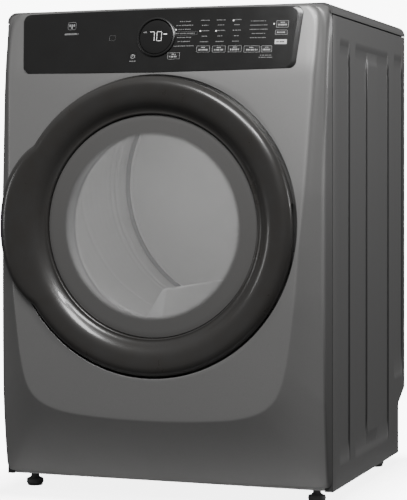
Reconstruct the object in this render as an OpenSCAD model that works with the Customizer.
// Front-loading clothes dryer with a round door, built as separate pieces.
// X runs to the right as you face the door, Y runs to the back, Z runs up from the floor.
// The origin is the middle of the footprint, on the floor.

/* [Cabinet] */
// Width over the side panels
cabinet_w = 686; // [670:1:700]
// Height of the top cap above the floor
cabinet_h = 965; // [960:1:972]
// Depth of the side panels
cabinet_d = 600; // [590:1:620]
// Height of the cabinet's lower edge above the floor
floor_gap = 28; // [26:1:34]
// Thickness of the sheet steel
sheet = 1.2; // [0.8:0.1:1.6]
// Depth of the pressed ribs in the side panels
emboss = 4; // [3:0.5:5]
// How far the door stands in front of the side panels
door_proud = 100; // [98:1:104]
// How far the exhaust outlet stands behind the cabinet
duct_proud = 25; // [15:1:40]

/* [Door] */
// Height of the door's centre
door_z = 535.5; // [530:0.5:540]
// Outer radius of the door ring
ring_r = 290; // [288:0.5:291]
// Radius of the outer glass
glass_r = 216; // [210:0.5:218]
// Inner radius of the door opening
opening_r = 196; // [190:1:200]

/* [Drum] */
// Inner radius of the drum
drum_r = 283; // [278:1:286]
// Height of the drum's axis
drum_z = 615; // [612:1:618]
// Front edge of the drum, behind the side panels' front edge
drum_y0 = 30; // [28:1:34]
// Back edge of the drum
drum_y1 = 512; // [500:1:514]
// Number of drum vanes
vane_count = 3; // [2:1:4]

/* [Drive] */
// Radius of the motor's belt pulley
pulley_r = 12; // [10:0.5:14]
// Radius of the belt tensioner pulley
idler_r = 18; // [14:1:20]
// Radius of the rear support rollers
roller_r = 38; // [32:1:40]
// Radius of the blower wheel
blower_r = 78; // [70:1:80]
// Outer radius of the round exhaust outlet
outlet_r = 50.8; // [50:0.1:52]

/* [Console] */
// Lean of the control console, in degrees
console_lean = 11.7; // [10:0.1:13]
// Radius of the console's crown
crown_r = 4200; // [4000:50:5000]
// Outer radius of the selector knob
knob_r = 39.5; // [38:0.5:39.5]
// Radius of the display window inside the knob
display_r = 34; // [31:0.5:34.5]

/* [Hidden] */
$fn = 64;

// The side panels' front edge lies this far in front of the origin.
cabinet_y = -(cabinet_d + duct_proud - door_proud) / 2;
half_w = cabinet_w / 2;
side_top = cabinet_h - 22;
// Rear foot recess: the back steps in below this slope
notch_d = 59;
notch_z0 = 136;
notch_z1 = 166;
back_y = cabinet_d - sheet;

// Front panel shell
shell_t = 3;
shell_z0 = 34.5;
shell_z1 = 962;
recess_r = 294;
recess_y = -52;
dish_r = 268;
floor_y = -2;

// Console: foot of its surface on the centre line
console_z = 842;
console_y = -60;
console_t = 4;
dial_v = 62.5;
key_travel = 0.8;
key_gap = 0.5;

// Door
hinge_x = 276;
hinge_y = -82;
hinge_pin_r = 3;
knuckle_r = 6;
knuckle_z = 18;
glass_y = -75;
glass_t = 4;
window_r = 186;

// Drive train, seen from the front
motor_x = -110;
motor_z = 160;
belt_y = 330;
belt_w = 12;
belt_t = 2;
idler_x = 55.3;
idler_z = 259.7;
pivot = [68, 110];
outlet_z = 86;
roller_angle = 34;
running = 0.05;
gap = 0.3;
drum_t = 1;
roller_y0 = drum_y1 - 34;

// Levelling legs
leg_x = 300;
leg_front_y = 40;
leg_rear_y = 505;
foot_r = 17.5;
stem_r = 5;

// ---- helpers ----

// Everything is drawn from the side panels' front edge.
module in_cabinet() {
    translate([0, cabinet_y, 0]) children();
}
// Outline in X and Z, thick from y0 to y1
module slab_y(y0, y1) {
    translate([0, y1, 0]) rotate([90, 0, 0]) linear_extrude(y1 - y0) children();
}
// Outline in Y and Z, thick from x0 to x1
module slab_x(x0, x1) {
    translate([x0, 0, 0]) rotate([90, 0, 90]) linear_extrude(x1 - x0) children();
}
// Outline in X and Y, thick from z0 to z1
module slab_z(z0, z1) {
    translate([0, 0, z0]) linear_extrude(z1 - z0) children();
}
// Round bar along Y
module bar_y(r, y0, y1, x, z) {
    translate([x, y0, z]) rotate([-90, 0, 0]) cylinder(r = r, h = y1 - y0);
}
// Ring about an axis along Y
module ring_y(ro, ri, y0, y1, x, z) {
    difference() {
        bar_y(ro, y0, y1, x, z);
        bar_y(ri, y0 - 1, y1 + 1, x, z);
    }
}
// Half profile of [radius, y] points, turned about an axis along Y
module turned_y(x, z, profile) {
    translate([x, 0, z]) rotate([-90, 0, 0]) rotate_extrude($fn = 96) polygon(profile);
}
module block(x0, x1, y0, y1, z0, z1) {
    translate([x0, y0, z0]) cube([x1 - x0, y1 - y0, z1 - z0]);
}
// Rectangle with round corners, centred
module round_rect(w, h, r) {
    for (s = [0, 1]) square(s == 0 ? [w - 2 * r, h] : [w, h - 2 * r], center = true);
    for (x = [-1, 1], z = [-1, 1]) translate([x * (w / 2 - r), z * (h / 2 - r)]) circle(r);
}

// ---- cabinet ----

// Outline of a side panel in Y and Z, with the recess above the rear feet
function side_outline(inset) = [
    [inset, floor_gap + inset], [cabinet_d - notch_d - inset, floor_gap + inset],
    [cabinet_d - notch_d - inset, notch_z0], [cabinet_d - inset, notch_z1],
    [cabinet_d - inset, side_top - inset], [inset, side_top - inset]];

// Pressed panels of a side: [front, back, bottom, top]
side_recesses = [[48, 128, 68, 902], [165, 450, 66, 901], [493, 579, 190, 902]];
raised_strip = [265, 354, 110, 858];

module recess_outline(r, grow) {
    translate([r[0] - grow, r[2] - grow]) square([r[1] - r[0] + 2 * grow, r[3] - r[2] + 2 * grow]);
}

// A side panel with its outer face at X = half_w
module side_sheet() {
    difference() {
        union() {
            slab_x(half_w - sheet, half_w) polygon(side_outline(0));
            for (r = side_recesses) slab_x(half_w - sheet - emboss, half_w - sheet) recess_outline(r, sheet);
            // Turned-in edges at the front, back and bottom
            block(half_w - 18, half_w - sheet, 0, sheet, floor_gap, side_top);
            block(half_w - 18, half_w - sheet, cabinet_d - 2 * sheet, back_y, notch_z1, side_top);
            block(half_w - 18, half_w - sheet, sheet, cabinet_d - notch_d - sheet, floor_gap, floor_gap + sheet);
        }
        difference() {
            union() for (r = side_recesses) slab_x(half_w - emboss, half_w + 1) recess_outline(r, 0);
            slab_x(half_w - emboss - 1, half_w + 2) recess_outline(raised_strip, 0);
        }
        slab_x(half_w - sheet - emboss - 1, half_w - sheet) recess_outline(raised_strip, -sheet);
    }
}
module side_panel_left() {
    color("dimgray") in_cabinet() mirror([1, 0, 0]) side_sheet();
}
module side_panel_right() {
    color("dimgray") in_cabinet() side_sheet();
}

inner_w = cabinet_w - 2 * sheet;
module rear_panel() {
    color("silver") in_cabinet() difference() {
        union() {
            slab_x(-inner_w / 2, inner_w / 2) polygon([
                [cabinet_d - notch_d - sheet, floor_gap], [cabinet_d - notch_d, floor_gap],
                [cabinet_d - notch_d, notch_z0 - 1], [cabinet_d, notch_z1 - 1], [cabinet_d, side_top],
                [back_y, side_top], [back_y, notch_z1], [cabinet_d - notch_d - sheet, notch_z0]]);
        }
        bar_y(outlet_r + 1, 500, cabinet_d + 5, 0, outlet_z);
        // Terminal window, air louvres and the service opening
        block(190, 270, back_y - 2, cabinet_d + 1, 255, 305);
        for (row = [0:7]) block(-260, -160, back_y - 2, cabinet_d + 1, 300 + row * 14, 304 + row * 14);
        for (row = [0:7]) block(60, 160, back_y - 2, cabinet_d + 1, 700 + row * 14, 704 + row * 14);
    }
}

module leg_boss(x, y) {
    translate([x, y, floor_gap + 2]) cylinder(r = 11, h = 26);
}
leg_places = [[-leg_x, leg_front_y], [leg_x, leg_front_y], [-leg_x, leg_rear_y], [leg_x, leg_rear_y]];
module base_pan() {
    pan_x = half_w - sheet - emboss - sheet - 0.5;
    y0 = 4;
    y1 = cabinet_d - notch_d - sheet - 0.5;
    z0 = floor_gap + sheet;
    color("gainsboro") in_cabinet() difference() {
        union() {
            block(-pan_x, pan_x, y0, y1, z0, z0 + 1.5);
            for (y = [y0, y1 - 1.5]) block(-pan_x, pan_x, y, y + 1.5, z0, z0 + 34);
            for (x = [-pan_x, pan_x - 1.5]) block(x, x + 1.5, y0, y1, z0, z0 + 34);
            for (p = leg_places) leg_boss(p[0], p[1]);
            // Post and pin for the belt tensioner
            block(pivot[0] - 10, pivot[0] + 10, belt_y - 30, belt_y - 22, z0, pivot[1] + 10);
            bar_y(5, belt_y - 22, belt_y - 4, pivot[0], pivot[1]);
            // Motor cradle
            for (y = [165, 290]) block(motor_x - 60, motor_x + 54, y, y + 3, z0, motor_z - 50);
        }
        for (p = leg_places) translate([p[0], p[1], z0 - 5]) cylinder(r = stem_r + running, h = 60);
        for (y = [165, 290]) bar_y(66 + gap, y - 1, y + 4, motor_x, motor_z);
        bar_y(outlet_r + 2, y1 - 5, y1 + 5, 0, outlet_z);
    }
}

cap_r = 20;
module cap_outline(inset) {
    w = half_w - inset;
    r = cap_r - inset;
    difference() {
        union() {
            translate([-w + r, side_top]) square([2 * (w - r), cabinet_h - side_top - inset]);
            for (x = [-w + r, w - r]) translate([x, cabinet_h - inset - r]) circle(r);
        }
        translate([-half_w - 1, side_top - 40]) square([cabinet_w + 2, 40.5]);
    }
}
module top_panel() {
    color("dimgray") in_cabinet() difference() {
        slab_y(0.5, cabinet_d) cap_outline(0);
        slab_y(0.5 + sheet, cabinet_d - sheet) cap_outline(sheet);
    }
}

// Front shell: plan outline at the widest height, and outline down the middle
function shell_plan(t) = [
    [half_w - t, 1], [half_w - 2 - t, -20 + t / 2], [half_w - 6 - t, -38 + t / 2], [300 - t / 2, -79 + t],
    [250, -86 + t], [-250, -86 + t], [-300 + t / 2, -79 + t], [-half_w + 6 + t, -38 + t / 2],
    [-half_w + 2 + t, -20 + t / 2], [-half_w + t, 1]];
function shell_side(t) = [
    [0.5, shell_z0 - t], [0.5, shell_z1 - t], [-10 + t, shell_z1 - t], [-22 + t, shell_z1 - 8 - t / 2],
    [-26 + t, 950], [-49 + t, 842], [-53 + t, 800], [-62 + t, 715], [-72 + t, 630], [-79 + t, 540],
    [-80 + t, 480], [-81 + t, 250], [-83 + t, 158], [-62 + t, 100], [-30 + t, shell_z0 - t]];
module shell_body(t) {
    intersection() {
        slab_z(shell_z0 - t, shell_z1 - t) polygon(shell_plan(t));
        slab_x(-half_w, half_w) polygon(shell_side(t));
        slab_y(-100, 20) translate([0, (shell_z0 + shell_z1) / 2 - t])
            round_rect(cabinet_w - 2 * t, shell_z1 - shell_z0, 20);
    }
}
module front_panel() {
    color("gray") in_cabinet() difference() {
        union() {
            difference() {
                shell_body(0);
                shell_body(shell_t);
                block(-half_w, half_w, -5, 1, shell_z0 - 1, shell_z0 + 0.5);
                bar_y(recess_r, -110, recess_y, 0, door_z);
                bar_y(dish_r, -110, 5, 0, door_z);
            }
            // Shallow recess around the door, the dish behind it and the dish floor
            intersection() {
                shell_body(0);
                union() {
                    ring_y(recess_r + 2, recess_r, -100, recess_y + 2, 0, door_z);
                    ring_y(recess_r, dish_r, recess_y, recess_y + 2, 0, door_z);
                    ring_y(dish_r + 2, dish_r, recess_y, 0, 0, door_z);
                }
            }
            ring_y(dish_r + 2, opening_r, floor_y, 0, 0, door_z);
            // Flange behind the side edges
            for (s = [-1, 1]) block(s * (half_w - 12) - 8, s * (half_w - 12) + 8, floor_y, 0, 60, 920);
        }
        console_cut();
        // Strike slot and switch hole in the dish floor
        block(-246, -222, floor_y - 1, 2, door_z - 22, door_z + 22);
        bar_y(5, floor_y - 1, 2, switch_x, switch_z);
        block(-half_w, half_w, 0, 5, 0, cabinet_h);
    }
}

// ---- console ----

// Local frame of the console: X right, Y inwards, Z up its slope
module console_frame() {
    translate([0, console_y, console_z]) rotate([-console_lean, 0, 0]) children();
}
// A place on the crowned face, u across and v up the slope
module on_console(u, v) {
    console_frame() translate([0, crown_r, v]) rotate([0, 0, asin(u / crown_r)]) translate([0, -crown_r, 0])
        children();
}
module console_outline(grow) {
    polygon([[-287 - grow, 8], [-279, -1 - grow], [-150, -6 - grow], [0, -8 - grow], [150, -6 - grow],
        [279, -1 - grow], [287 + grow, 8], [294 + grow, 105], [282, 119 + grow], [-282, 119 + grow],
        [-294 - grow, 105]]);
}
// Crowned plate between two depths below the console's face
module crowned(y0, y1) {
    difference() {
        translate([0, crown_r, -60]) cylinder(r = crown_r - y0, h = 240, $fn = 256);
        translate([0, crown_r, -61]) cylinder(r = crown_r - y1, h = 242, $fn = 256);
    }
}
// How far the crowned face has fallen back at a distance from the middle
function crown_drop(x) = x * x / (2 * crown_r);
board_y = 26;
module console_cut() {
    console_frame() slab_y(-40, 60) console_outline(gap);
}
// Keys: [name, across, up the slope, width, height]
keys = [["key_power", -46.5, 24.5, 14, 14], ["key_cycle", 38.5, 24, 26, 14], ["key_temp", 98, 36.5, 28, 14],
    ["key_level", 130, 36, 28, 14], ["key_time", 162, 36, 28, 14], ["key_options", 196, 35, 33, 14],
    ["key_select", 225, 35, 22, 14], ["key_start", 253.5, 84, 25, 15], ["key_cancel", 252, 67.5, 25, 10.5],
    ["key_steam", 252, 49, 25, 10.5]];
module key_body(k) {
    w = k[3];
    h = k[4];
    on_console(k[1], k[2]) {
        slab_y(0.2, 5) round_rect(w, h, 2);
        slab_y(5, 6.5) round_rect(w + 2 * key_gap + 0.4, h + 2 * key_gap + 0.4, 2);
    }
}
module key_named(name) {
    color("dimgray") in_cabinet() for (k = keys) if (k[0] == name) key_body(k);
}
module console_panel() {
    color("black") in_cabinet() difference() {
        console_frame() intersection() {
            slab_y(-2, 30) console_outline(0);
            crowned(0, console_t);
        }
        for (k = keys) on_console(k[1], k[2]) slab_y(-2, 8) round_rect(k[3] + 2 * key_gap, k[4] + 2 * key_gap, 2.4);
        on_console(0, dial_v) bar_y(knob_r - 2, -3, 8, 0, 0);
    }
}
module selector_knob() {
    color("black") in_cabinet() on_console(0, dial_v) {
        turned_y(0, 0, [[display_r + 0.5, -2], [display_r + 3, -4.5], [knob_r - 1.5, -4], [knob_r, -2.5],
            [knob_r, -0.6], [knob_r - 3, -0.4], [knob_r - 3, 7], [display_r + 0.5, 7]]);
    }
}
module display_lens() {
    color("black") in_cabinet() on_console(0, dial_v) {
        bar_y(display_r, -2.5, 1, 0, 0);
        bar_y(display_r - 6, 1, board_y, 0, 0);
    }
}
module control_board() {
    color("darkgreen") in_cabinet() console_frame() {
        block(-150, 280, board_y, board_y + 2, 12, 104);
        for (x = [-120, 60, 150]) block(x, x + 40, board_y + 2, board_y + 14, 20, 45);
        block(200, 260, board_y + 2, board_y + 16, 55, 95);
    }
    // Posts that carry the board on the console
    color("darkgreen") in_cabinet() for (x = [-140, 270], v = [16, 98])
        on_console(x, v) bar_y(3, console_t, board_y - crown_drop(x), 0, 0);
}

// ---- air and drum supports ----

filter_w = 180;
module bulkhead_plate(y0, y1) {
    slab_y(y0, y1) difference() {
        translate([0, 600]) square([cabinet_w - 50, 640], center = true);
        translate([0, door_z]) circle(opening_r);
        translate([-filter_w / 2 - 8, 340]) square([filter_w + 16, 25]);
    }
}
module front_bulkhead() {
    color("lightgray") in_cabinet() difference() {
        union() {
            bulkhead_plate(18, 20);
            // Tunnel from the door dish into the drum
            ring_y(opening_r + 2, opening_r, 0, 20, 0, door_z);
            // Lip that carries the drum's front edge
            ring_y(drum_r - 4, drum_r - 6, 20, 44, 0, drum_z);
        }
        block(-filter_w / 2 - 8, filter_w / 2 + 8, -1, 25, 320, 372);
    }
}
module rear_bulkhead() {
    y0 = drum_y1 + 5;
    color("gainsboro") in_cabinet() for (s = [-1, 1]) roller_bracket(s);
    color("gainsboro") in_cabinet() difference() {
        union() {
            slab_y(y0, y0 + 1.5) translate([0, 600]) square([cabinet_w - 50, 640], center = true);
            // Lip inside the drum's rear edge
            ring_y(drum_r - 4, drum_r - 6, y0 - 22, y0, 0, drum_z);
        }
        // Warm air inlet
        for (i = [-4:4], j = [-6:6]) bar_y(5, y0 - 1, y0 + 3, 120 + i * 18, drum_z + j * 18 + (i % 2) * 9);
    }
}
module felt_seals() {
    y0 = drum_y1 + 5;
    color("ivory") in_cabinet() {
        ring_y(drum_r - gap, drum_r - 4, 32, 43, 0, drum_z);
        ring_y(drum_r - gap, drum_r - 4, y0 - 20, y0 - 8, 0, drum_z);
    }
}
module drum() {
    color("lightgray") in_cabinet() difference() {
        union() {
            bar_y(drum_r + drum_t, drum_y0, drum_y1, 0, drum_z);
            // Rolled beads round the drum
            for (y = [90, 420]) bar_y(drum_r + drum_t + 3, y, y + 14, 0, drum_z);
        }
        bar_y(drum_r, drum_y0 - 1, drum_y1 + 1, 0, drum_z);
        for (y = [90, 420]) bar_y(drum_r + 3, y + 1, y + 13, 0, drum_z);
    }
}
// Angle of the lowest vane, a little to the left of straight down
vane_angle = -10;
vane_h = 68;
module vane() {
    y0 = 60;
    y1 = 480;
    intersection() {
        slab_y(y0, y1) polygon([[-20, -drum_r], [20, -drum_r], [5, -drum_r + vane_h],
            [-5, -drum_r + vane_h]]);
        slab_x(-30, 30) polygon([[y0, -drum_r], [y1, -drum_r], [y1 - 8, -drum_r + vane_h],
            [y0 + 8, -drum_r + vane_h]]);
        bar_y(drum_r, y0, y1, 0, 0);
    }
}
module drum_vanes() {
    color("white") in_cabinet() translate([0, 0, drum_z])
        for (i = [0:vane_count - 1]) rotate([0, vane_angle * -1 + i * 360 / vane_count, 0]) vane();
}

roller_d = drum_r + drum_t + roller_r + gap;
function roller_x(s) = s * roller_d * sin(roller_angle);
roller_z = drum_z - roller_d * cos(roller_angle);
module support_roller(s) {
    color("dimgray") in_cabinet() difference() {
        bar_y(roller_r, roller_y0, roller_y0 + 24, roller_x(s), roller_z);
        bar_y(5 + running, roller_y0 - 1, roller_y0 + 25, roller_x(s), roller_z);
    }
}
module support_roller_left() {
    support_roller(-1);
}
module support_roller_right() {
    support_roller(1);
}
// Welded bracket with the roller's axle
module roller_bracket(s) {
    x = roller_x(s);
    bar_y(5, roller_y0 - 6, drum_y1 + 2, x, roller_z);
    bar_y(8, roller_y0 + 24 + gap, drum_y1 + 2, x, roller_z);
    bar_y(8, roller_y0 - 8, roller_y0 - gap, x, roller_z);
    block(x - 25, x + 25, drum_y1 + 2, drum_y1 + 5, roller_z - 30, roller_z + 25);
}

// ---- belt drive ----

belt_r = drum_r + drum_t + gap;
// Points on an arc about a wheel's centre
function arc(c, r, a0, a1, n) = [for (i = [0:n]) c + r * [cos(a0 + (a1 - a0) * i / n), sin(a0 + (a1 - a0) * i / n)]];
// Closed loop of the belt round the drum and the motor's pulley, with its straight runs
function belt_loop(grow) =
    let (to_motor = [motor_x, motor_z - drum_z], lean = atan2(to_motor[1], to_motor[0]),
        half = acos((belt_r - pulley_r - gap) / norm(to_motor)))
    concat(arc([0, drum_z], belt_r + grow, lean + half, lean - half + 360, 90),
        arc([motor_x, motor_z], pulley_r + gap + grow, lean - half, lean + half, 12));
module drum_belt() {
    color("black") in_cabinet() slab_y(belt_y, belt_y + belt_w) difference() {
        polygon(belt_loop(belt_t));
        polygon(belt_loop(0));
    }
}
module motor() {
    color("silver") in_cabinet() difference() {
        union() {
            bar_y(66, 170, 286, motor_x, motor_z);
            bar_y(48, 160, 296, motor_x, motor_z);
            bar_y(14, 152, 304, motor_x, motor_z);
        }
        bar_y(6 + running, 150, 306, motor_x, motor_z);
    }
}
module motor_shaft() {
    color("lightgray") in_cabinet() {
        bar_y(6, 64, 350, motor_x, motor_z);
        bar_y(pulley_r, belt_y - 3, belt_y + belt_w + 3, motor_x, motor_z);
        for (y = [belt_y - 5, belt_y + belt_w + 3]) bar_y(pulley_r + 3, y, y + 2, motor_x, motor_z);
    }
}
module blower_wheel() {
    color("gainsboro") in_cabinet() difference() {
        union() {
            bar_y(blower_r, 92, 95, motor_x, motor_z);
            bar_y(12, 70, 92, motor_x, motor_z);
            ring_y(blower_r, blower_r - 14, 48, 50, motor_x, motor_z);
            for (i = [0:17]) translate([motor_x, 50, motor_z]) rotate([0, i * 20, 0])
                translate([blower_r - 13, 0, -1]) cube([12, 42, 2]);
        }
        bar_y(6, 60, 97, motor_x, motor_z);
    }
}
// Scroll-shaped fan housing with its inlet in front and its outlet low on the right
module scroll_outline(inset) {
    translate([motor_x, motor_z]) circle(92 - inset);
    translate([motor_x, 60 + inset]) square([58 - motor_x - inset, 110 - 2 * inset]);
}
module blower_housing() {
    color("whitesmoke") in_cabinet() difference() {
        slab_y(40, 104) scroll_outline(0);
        slab_y(42, 102) scroll_outline(2);
        bar_y(54, 39, 43, motor_x, motor_z);
        bar_y(9, 100, 105, motor_x, motor_z);
        bar_y(outlet_r - 2, 100, 106, 0, outlet_z + 25);
    }
}
module exhaust_duct() {
    y1 = cabinet_d + duct_proud;
    color("silver") in_cabinet() difference() {
        union() {
            bar_y(outlet_r, 340, y1, 0, outlet_z);
            // Stop bead for the hose
            bar_y(outlet_r + 1.5, y1 - 60, y1 - 56, 0, outlet_z);
            hull() {
                bar_y(outlet_r, 104, 106, 0, outlet_z + 25);
                bar_y(outlet_r, 338, 340, 0, outlet_z);
            }
        }
        bar_y(outlet_r - 1, 339, y1 + 1, 0, outlet_z);
        hull() {
            bar_y(outlet_r - 1, 103, 106, 0, outlet_z + 25);
            bar_y(outlet_r - 1, 338, 341, 0, outlet_z);
        }
    }
}
// Duct from the filter slot down to the fan inlet
module lint_duct() {
    w = filter_w / 2 + 6;
    color("whitesmoke") in_cabinet() difference() {
        union() {
            block(-w, w, 2, 17, 180, 338);
            block(-w - 80, w, 2, 17, 95, 228);
            ring_y(58, 50, 15, 39.5, motor_x, motor_z);
        }
        block(-w + 2, w - 2, 4, 15, 178, 339);
        block(-w - 78, w - 2, 4, 15, 97, 226);
        bar_y(50, 10, 41, motor_x, motor_z);
    }
}
module lint_filter() {
    w = filter_w / 2;
    color("white") in_cabinet() difference() {
        union() {
            block(-w, w, 5.5, 13.5, 186, 340);
            block(-w, w, 4.5, 14.5, 340, 344);
            // Finger grip
            block(-40, 40, 8, 11, 344, 352);
        }
        // Mesh windows
        for (i = [-2:2]) block(i * 35 - 15.5, i * 35 + 15.5, 4, 8.5, 194, 332);
        for (i = [-2:2]) block(i * 35 - 15.5, i * 35 + 15.5, 9.1, 15, 194, 332);
    }
}
module idler_arm() {
    reach = [pivot[0] - idler_x, pivot[1] - idler_z];
    across = [-reach[1], reach[0]] * 8 / norm(reach);
    a = [idler_x, idler_z];
    color("silver") in_cabinet() {
        bar_y(4.5, belt_y - 9, belt_y + belt_w + 8, idler_x, idler_z);
        slab_y(belt_y - 12, belt_y - 9) difference() {
            union() {
                translate(a) circle(9);
                translate(pivot) circle(11);
                polygon([a - across, pivot - across, pivot + across, a + across]);
            }
            translate(pivot) circle(5 + running);
        }
    }
}
module idler_pulley() {
    color("dimgray") in_cabinet() difference() {
        bar_y(idler_r, belt_y - 5, belt_y + belt_w + 5, idler_x, idler_z);
        bar_y(4.5 + running, belt_y - 7, belt_y + belt_w + 7, idler_x, idler_z);
    }
}

// ---- heater and mains entry ----

module heater_housing() {
    y0 = drum_y1 + 7;
    color("silver") in_cabinet() difference() {
        block(30, 215, y0, y0 + 62, 300, 760);
        block(31.2, 213.8, y0 - 1, y0 + 60.8, 301.2, 758.8);
        for (i = [0:5]) bar_y(7, y0 + 50, y0 + 70, 60 + i * 25, 320);
    }
}
module heater_element() {
    y = drum_y1 + 38;
    color("darkgray") in_cabinet() {
        for (i = [0:5]) translate([60 + i * 25, y, 330]) cylinder(r = 3.2, h = 180);
        for (i = [0:4]) translate([72.5 + i * 25, y, i % 2 == 0 ? 510 : 330]) rotate([90, 0, 0])
            rotate_extrude(angle = i % 2 == 0 ? 180 : -180, $fn = 32) translate([12.5, 0]) circle(3.2, $fn = 24);
        // Insulated frame
        block(45, 200, y + 4, y + 7, 320, 520);
    }
}
module terminal_cover() {
    color("silver") in_cabinet() difference() {
        block(175, 285, cabinet_d, cabinet_d + 20, 240, 320);
        block(176.2, 283.8, cabinet_d - 1, cabinet_d + 18.8, 241.2, 318.8);
        block(214, 246, cabinet_d - 1, cabinet_d + 18.8, 239, 243);
        bar_y(2.5, cabinet_d, cabinet_d + 21, 230, 310);
    }
}
cord_r = 11;
module cord_entry_plate() {
    color("silver") in_cabinet() difference() {
        union() {
            block(205, 255, cabinet_d, cabinet_d + 24, 228, 230);
            block(205, 255, cabinet_d, cabinet_d + 1.4, 214, 228);
        }
        translate([230, cabinet_d + 12.5, 226]) cylinder(r = cord_r, h = 6);
    }
}

// ---- door ----

hinge_half = 47;
module hinge_clearance(y0) {
    block(262, 300, y0, -40, door_z - hinge_half, door_z + hinge_half);
}
module door_ring() {
    r = ring_r;
    color("black") in_cabinet() difference() {
        turned_y(0, door_z, [[r - 6, -56], [r, -78], [r - 0.5, -86], [r - 4, -92], [r - 13, -99], [r - 18, -99.6],
            [r - 26, -98], [r - 42, -93], [r - 58, -86], [r - 68, -80], [glass_r + 1, -76],
            [glass_r + 1, -68], [glass_r + 4, -68], [glass_r + 4, -73.5], [r - 66, -77], [r - 57, -82.5],
            [r - 41, -89.5], [r - 26, -94.5], [r - 18, -96], [r - 14.5, -95.6], [r - 6.5, -90],
            [r - 3.5, -84.5], [r - 3, -78], [r - 9, -56]]);
        hinge_clearance(-88);
    }
}
// Grip that swells out of the ring's left edge: how far, at an angle from the middle of the grip
grip_out = 26;
grip_half = 33;
function grip_swell(a) = grip_out * (1 - pow(abs(a) / grip_half, 3));
module grip_outline(inset) {
    steps = 33;
    polygon(concat(
        [for (i = [-steps:steps]) let (a = i * grip_half / steps, r = ring_r + max(grip_swell(a) - inset, 0.6))
            [-r * cos(a), door_z + r * sin(a)]],
        [for (i = [steps:-1:-steps]) let (a = i * grip_half / steps, r = ring_r + gap)
            [-r * cos(a), door_z + r * sin(a)]]));
}
module door_handle() {
    color("black") in_cabinet() difference() {
        slab_y(-96, -82.5) grip_outline(0);
        // Finger hollow behind the grip
        slab_y(-92, -82) grip_outline(4);
    }
}
module door_glass() {
    color("slategray", 0.6) in_cabinet()
        turned_y(0, door_z, [[0, glass_y], [glass_r - 1.5, glass_y], [glass_r, glass_y + 1.5],
            [glass_r, glass_y + glass_t], [0, glass_y + glass_t]]);
}
module door_liner() {
    ro = 250;
    color("lightgray") in_cabinet() difference() {
        turned_y(0, door_z, [[glass_r - 6, -71], [glass_r, -71], [glass_r, -62], [ring_r - 12, -62],
            [ring_r - 12, -60], [ro, -60], [ro, -10], [ro - 6, -4], [window_r - 4, -4], [window_r - 4, -6],
            [ro - 7, -6], [ro - 2, -11], [ro - 2, -60], [glass_r - 2, -60], [glass_r - 2, -68],
            [glass_r - 6, -68]]);
        hinge_clearance(-90);
    }
}
module door_window() {
    color("lightblue", 0.3) in_cabinet()
        turned_y(0, door_z, [[0, -9], [window_r, -9], [window_r, -6], [0, -6]]);
}
module door_seal() {
    color("dimgray") in_cabinet()
        turned_y(0, door_z, [[opening_r + 8, -4], [opening_r + 20, -4], [opening_r + 18, -2.4],
            [opening_r + 10, -2.4]]);
}
strike_x = -236;
module door_strike() {
    color("silver") in_cabinet() {
        block(strike_x - 6, strike_x + 6, -4, -2.6, door_z - 14, door_z + 14);
        for (s = [-1, 1]) block(strike_x - 1.5, strike_x + 1.5, -2.6, 10, door_z + s * 9 - 2, door_z + s * 9 + 2);
        block(strike_x - 1.5, strike_x + 1.5, 7, 10, door_z - 7, door_z + 7);
    }
}
module latch_catch() {
    color("white") in_cabinet() difference() {
        block(-252, -216, 0, 16, door_z - 32, door_z + 32);
        block(-246, -222, -1, 14, door_z - 22, door_z + 22);
    }
}
module door_hinge_bracket() {
    color("silver") in_cabinet() {
        block(270, 289, recess_y - 2, recess_y, door_z - 45, door_z + 45);
        for (s = [-1, 1]) {
            z0 = door_z + (s > 0 ? knuckle_z + 1 : -knuckle_z - 23);
            translate([hinge_x, hinge_y, z0]) cylinder(r = knuckle_r, h = 22);
            block(270, 274, hinge_y, recess_y - 2, z0, z0 + 22);
        }
        translate([hinge_x, hinge_y, door_z - knuckle_z - 2]) cylinder(r = hinge_pin_r, h = 2 * knuckle_z + 4);
    }
}
module door_hinge_leaf() {
    z0 = door_z - knuckle_z;
    color("silver") in_cabinet() difference() {
        union() {
            translate([hinge_x, hinge_y, z0]) cylinder(r = knuckle_r, h = 2 * knuckle_z);
            block(256, hinge_x, hinge_y - 1.5, hinge_y + 1.5, z0, z0 + 2 * knuckle_z);
            block(256, 259, hinge_y + 1.5, -62, z0, z0 + 2 * knuckle_z);
            block(245, 259, -63.5, -62, z0, z0 + 2 * knuckle_z);
        }
        translate([hinge_x, hinge_y, z0 - 1]) cylinder(r = hinge_pin_r + running, h = 2 * knuckle_z + 2);
    }
}
switch_x = -160;
switch_z = 705;
module door_switch() {
    color("white") in_cabinet() difference() {
        union() {
            bar_y(4.8, floor_y - 0.5, 1, switch_x, switch_z);
            block(switch_x - 12, switch_x + 12, 0.2, 17.5, switch_z - 10, switch_z + 12);
        }
        bar_y(3 + running, floor_y - 2, 15, switch_x, switch_z);
    }
}
module door_switch_plunger() {
    color("ivory") in_cabinet() bar_y(3, -3.6, 12, switch_x, switch_z);
}
module drum_lamp() {
    color("lightyellow") in_cabinet() {
        bar_y(16, 20, 28, 60, door_z + 235);
        turned_y(60, door_z + 235, [[0, 28], [13, 28], [11, 34], [6, 37], [0, 38]]);
    }
}

// ---- braces and fasteners ----

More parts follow.
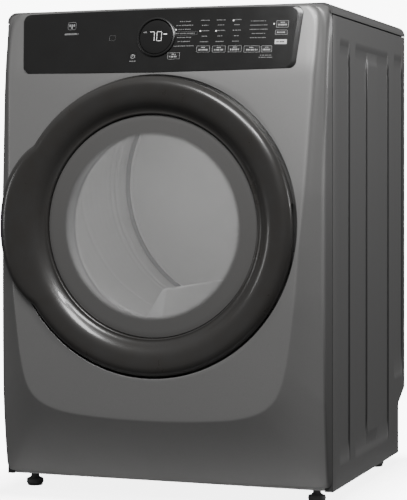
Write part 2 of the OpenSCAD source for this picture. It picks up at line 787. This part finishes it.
module cross_braces() {
    x = half_w - sheet - emboss - sheet - 0.5;
    color("silver") in_cabinet() {
        block(-x, x, 60, 61.5, 905, 940);
        block(-x, x, 61.5, 90, 938.5, 940);
        block(-x, x, 560, 561.5, 905, 940);
    }
}
module screw_y(x, y, z) {
    turned_y(x, z, [[0, y], [2, y], [2, y + 0.1], [4.5, y + 0.1], [4, y + 1.6], [2, y + 2.4], [0, y + 2.4]]);
}
module cabinet_screws() {
    color("silver") in_cabinet() {
        for (s = [-1, 1], z = [200, 380, 560, 740, 920]) screw_y(s * (half_w - 10), cabinet_d, z);
        for (x = [-220, -75, 75, 220]) screw_y(x, cabinet_d, side_top - 12);
        screw_y(-200, cabinet_d - notch_d, 60);
        screw_y(200, cabinet_d - notch_d, 60);
    }
}

// ---- levelling legs ----

module leg_at(x, y) {
    color("dimgray") in_cabinet() translate([x, y, 0]) {
        rotate_extrude($fn = 48) polygon([[0, 0], [foot_r, 0], [foot_r, 3], [14, 5], [14, 13], [11, 18],
            [stem_r + 3, 20], [stem_r + 3, 25], [stem_r, 25], [stem_r, 52], [0, 52]]);
        for (i = [0:11]) rotate([0, 0, i * 30]) translate([12.5, -1.6, 2]) cube([3, 3.2, 10]);
    }
}
module leg_front_left() {
    leg_at(-leg_x, leg_front_y);
}
module leg_front_right() {
    leg_at(leg_x, leg_front_y);
}
module leg_rear_left() {
    leg_at(-leg_x, leg_rear_y);
}
module leg_rear_right() {
    leg_at(leg_x, leg_rear_y);
}

// ---- drawing ----

side_panel_left();
side_panel_right();
rear_panel();
base_pan();
top_panel();
front_panel();
console_panel();
display_lens();
control_board();
front_bulkhead();
rear_bulkhead();
felt_seals();
drum_belt();
motor();
blower_housing();
lint_duct();
exhaust_duct();
heater_housing();
heater_element();
terminal_cover();
cord_entry_plate();
door_hinge_bracket();
latch_catch();
door_switch();
door_switch_plunger();
drum_lamp();
cross_braces();
cabinet_screws();
drum();
drum_vanes();
door_ring();
door_handle();
door_glass();
door_liner();
door_window();
door_seal();
door_strike();
door_hinge_leaf();
selector_knob();
key_named("key_power");  // key_power
key_named("key_cycle");  // key_cycle
key_named("key_temp");  // key_temp
key_named("key_level");  // key_level
key_named("key_time");  // key_time
key_named("key_options");  // key_options
key_named("key_select");  // key_select
key_named("key_start");  // key_start
key_named("key_cancel");  // key_cancel
key_named("key_steam");  // key_steam
leg_front_left();
leg_front_right();
leg_rear_left();
leg_rear_right();
support_roller_left();
support_roller_right();
motor_shaft();
blower_wheel();
idler_arm();
idler_pulley();
lint_filter();
